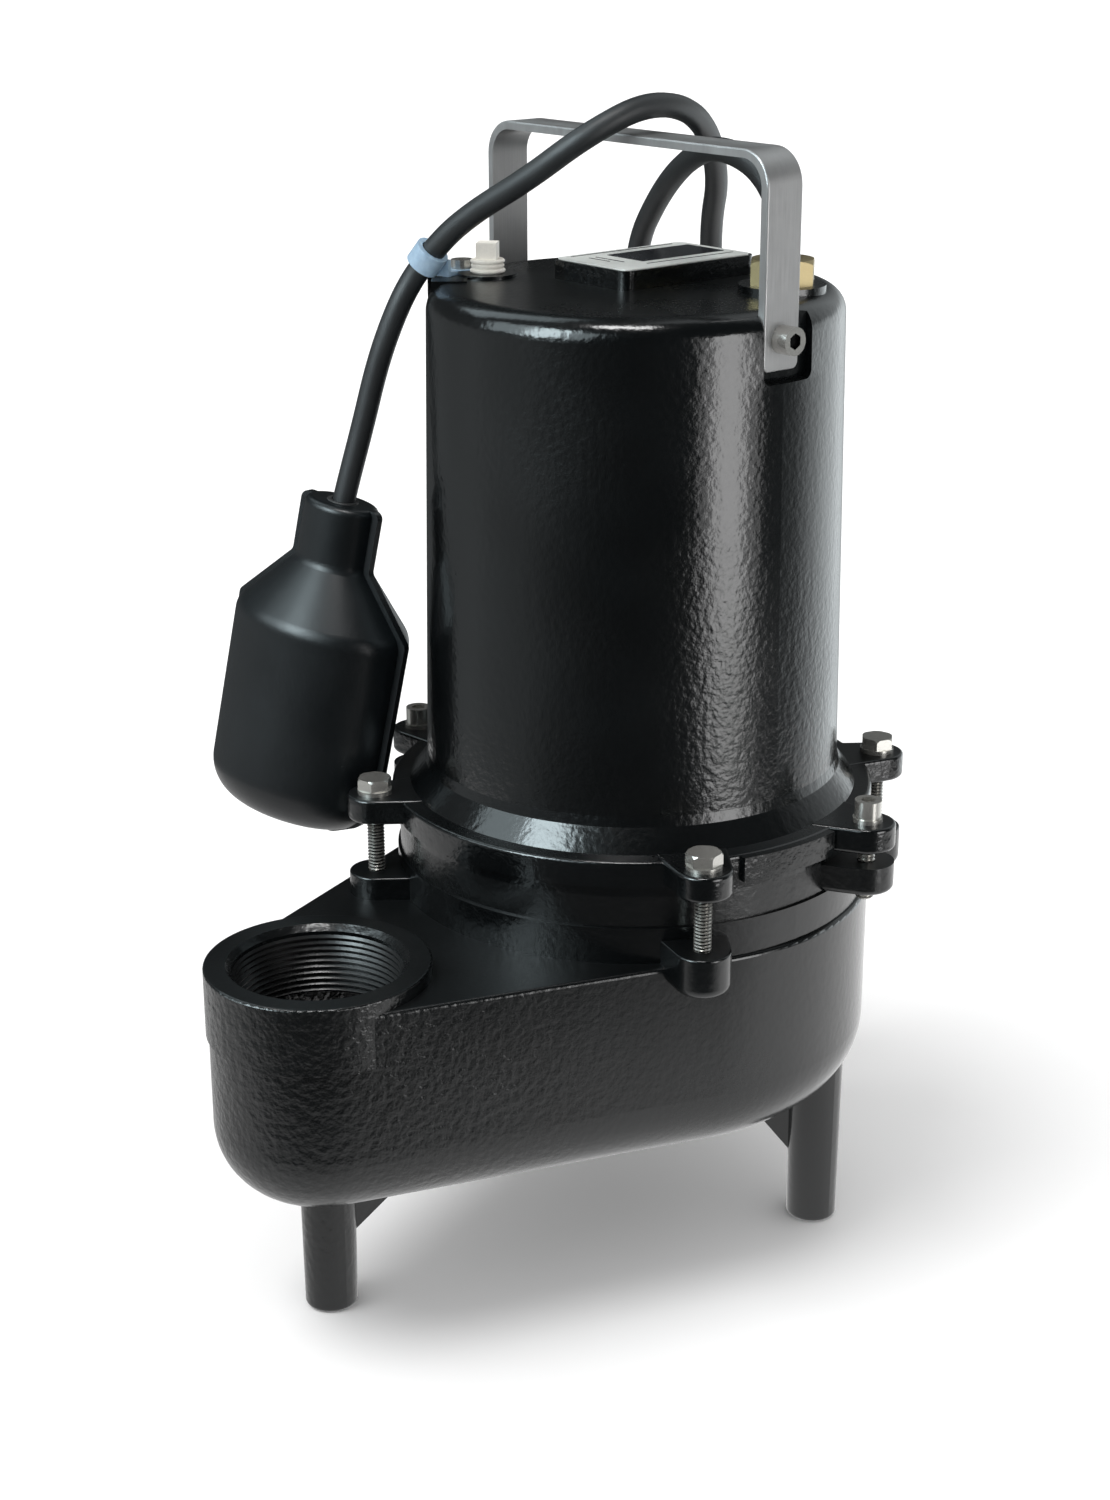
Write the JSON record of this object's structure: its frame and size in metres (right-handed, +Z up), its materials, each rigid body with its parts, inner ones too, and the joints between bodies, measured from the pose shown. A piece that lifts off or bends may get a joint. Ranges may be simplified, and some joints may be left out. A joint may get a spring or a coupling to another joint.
{
  "type": "submersible sewage pump",
  "caption": "Submersible sump pump: black cast motor can on a volute with an upright threaded outlet, strap handle, tripod feet and a tethered float switch",
  "frame": {"origin": "on the standing surface, under the motor's axis", "axes": "+Z is up along the motor shaft; +X runs along the lifting strap; the threaded outlet stands on the -Y side"},
  "size_m": [0.3711, 0.357, 0.4205],
  "materials": {
    "black_enamel": "glossy black baked enamel over cast iron",
    "plain_stainless": "plain turned stainless steel",
    "brushed_stainless": "brushed stainless steel strap",
    "zinc_plate": "dull zinc plated steel",
    "brass": "machined brass",
    "black_rubber": "matte black rubber jacket",
    "label_foil": "satin silver label with a dark window",
    "float_plastic": "matte charcoal moulded plastic",
    "clear_nylon": "natural nylon",
    "bearing_steel": "ground bearing steel",
    "shaft_steel": "turned stainless steel",
    "laminated_steel": "stacked electrical steel",
    "end_ring_aluminium": "cast aluminium",
    "copper_winding": "varnished copper wire",
    "seal_ceramic": "lapped ceramic",
    "seal_rubber": "nitrile rubber",
    "impeller_iron": "coated cast iron",
    "capacitor_can": "drawn aluminium can",
    "cream_plastic": "moulded terminal plastic",
    "plug_vinyl": "moulded black vinyl"
  },
  "bodies": {
    "base": {"volute_casing": "black_enamel", "seal_plate": "black_enamel", "motor_housing": "black_enamel", "volute_o_ring": "seal_rubber", "housing_o_ring": "seal_rubber", "label_plate": "label_foil", "flange_bolts": "plain_stainless", "flange_bolt_washers": "plain_stainless", "seal_plate_screws": "plain_stainless", "seal_plate_lock_washers": "plain_stainless", "lifting_handle": "brushed_stainless", "handle_screws": "plain_stainless", "oil_fill_plug": "zinc_plate", "cord_gland": "brass", "cord_grommet": "black_rubber", "stator_core": "laminated_steel", "stator_windings": "copper_winding", "lower_bearing_outer_ring": "bearing_steel", "upper_bearing_outer_ring": "bearing_steel", "shaft_seal_seat": "seal_ceramic", "run_capacitor": "capacitor_can", "capacitor_clamp": "zinc_plate", "terminal_block": "cream_plastic", "float_cord_run": "black_rubber", "power_cord_run": "black_rubber", "power_cord_coil": "black_rubber", "float_cord_coil": "black_rubber", "power_cord_tail": "black_rubber", "float_cord_tail": "black_rubber", "power_plug": "plug_vinyl", "float_switch_plug": "plug_vinyl", "power_plug_blades": "brass", "float_switch_plug_blades": "brass", "cord_clip": "clear_nylon", "cord_clip_screw": "plain_stainless"},
    "rotor": {"rotor_shaft": "shaft_steel", "rotor_core": "laminated_steel", "rotor_end_rings": "end_ring_aluminium", "lower_bearing_inner_ring": "bearing_steel", "upper_bearing_inner_ring": "bearing_steel", "shaft_seal_head": "seal_rubber", "shaft_seal_spring": "shaft_steel", "impeller": "impeller_iron", "impeller_nut": "plain_stainless"},
    "ball_train": {"lower_bearing_balls": "bearing_steel", "upper_bearing_balls": "bearing_steel"},
    "float": {"float_shell_front": "float_plastic", "float_shell_back": "float_plastic", "float_cord_drop": "black_rubber", "float_ball_channel": "cream_plastic", "float_micro_switch": "cream_plastic", "float_switch_lever": "shaft_steel"},
    "switch_ball": {"float_ball": "bearing_steel"}
  },
  "joints": [
    {"name": "rotor_spin", "type": "hinge", "parent": "base", "child": "rotor", "pos_m": [0, 0, 0.2], "axis": [0, 0, 1], "continuous": true},
    {"name": "ball_train_spin", "type": "hinge", "parent": "base", "child": "ball_train", "pos_m": [0, 0, 0.2], "axis": [0, 0, 1], "continuous": true},
    {"name": "float_swing", "type": "hinge", "parent": "base", "child": "float", "pos_m": [-0.0625, -0.049, 0.356], "axis": [-0.7659, 0.6429, 0], "range_deg": [0, 95]},
    {"name": "switch_ball_roll", "type": "slide", "parent": "float", "child": "switch_ball", "axis": [0.1226, 0.1462, 0.9816], "range_m": [0, 0.0245]}
  ],
  "couplings": [
    {"joint": "ball_train_spin", "follows": "rotor_spin", "ratio": 0.38028}
  ]
}
